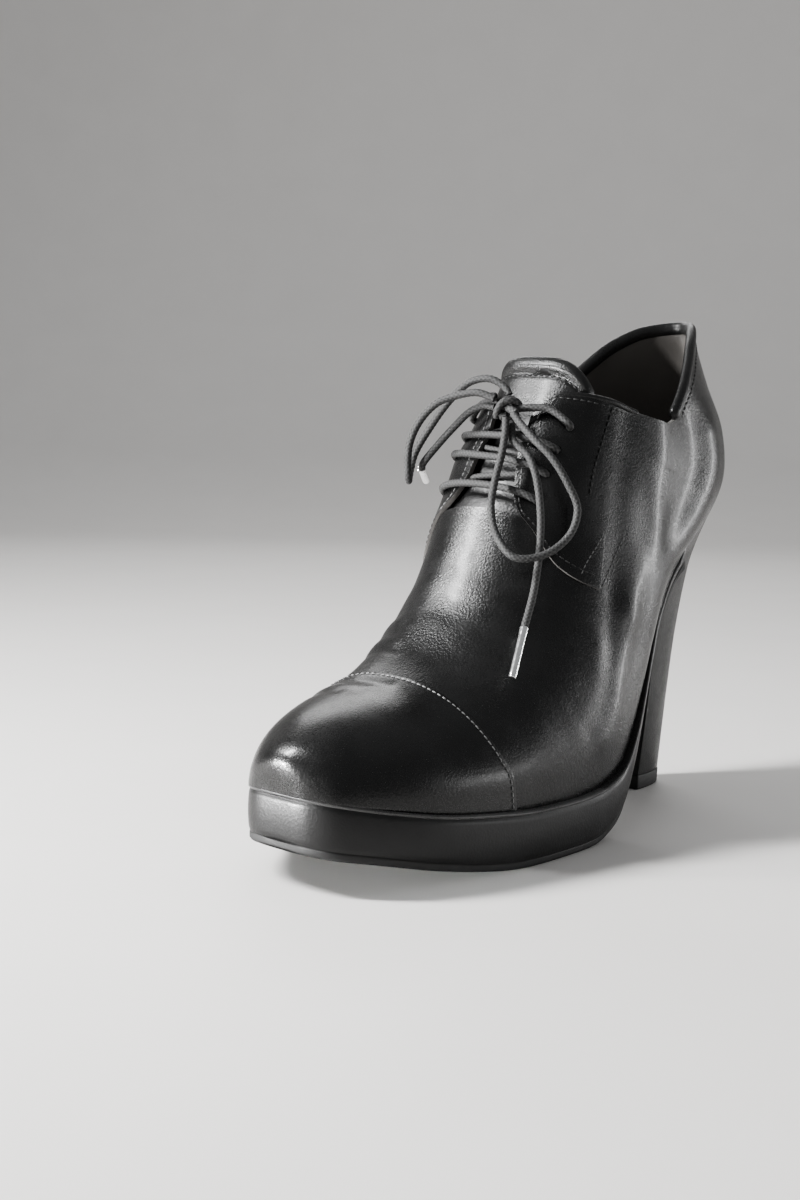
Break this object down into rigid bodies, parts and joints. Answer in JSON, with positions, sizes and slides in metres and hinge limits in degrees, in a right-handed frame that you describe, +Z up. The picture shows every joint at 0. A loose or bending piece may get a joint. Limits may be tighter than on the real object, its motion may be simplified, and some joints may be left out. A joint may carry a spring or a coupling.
{
  "type": "high-heeled lace-up ankle boot",
  "caption": "Left lace-up ankle boot in polished leather with a toe cap, dipped collar, platform sole and tall covered heel, laced and tied.",
  "frame": {"origin": "on the floor, on the flat of the outsole under the ball of the foot", "axes": "+X to the outer side of the left foot, -Y forward to the toe, +Z up"},
  "size_m": [0.093, 0.2424, 0.1887],
  "materials": {
    "leather": "polished",
    "lining": "matte",
    "edge": "satin",
    "rubber": "matte",
    "cord": "braided",
    "metal": "polished"
  },
  "bodies": {
    "root": {"outsole": "rubber", "platform": "leather", "welt": "edge", "heel": "leather", "heel_tip": "rubber", "upper": "leather", "tongue": "leather", "insole": "lining", "collar_rim": "leather", "lace_bar_1": "cord", "lace_bar_2": "cord", "lace_bar_3": "cord", "lace_knot": "cord", "lace_loop_outer": "cord", "lace_loop_inner": "cord", "lace_end_outer": "cord", "lace_end_inner": "cord", "aglet_outer": "metal", "aglet_inner": "metal"}
  },
  "joints": []
}
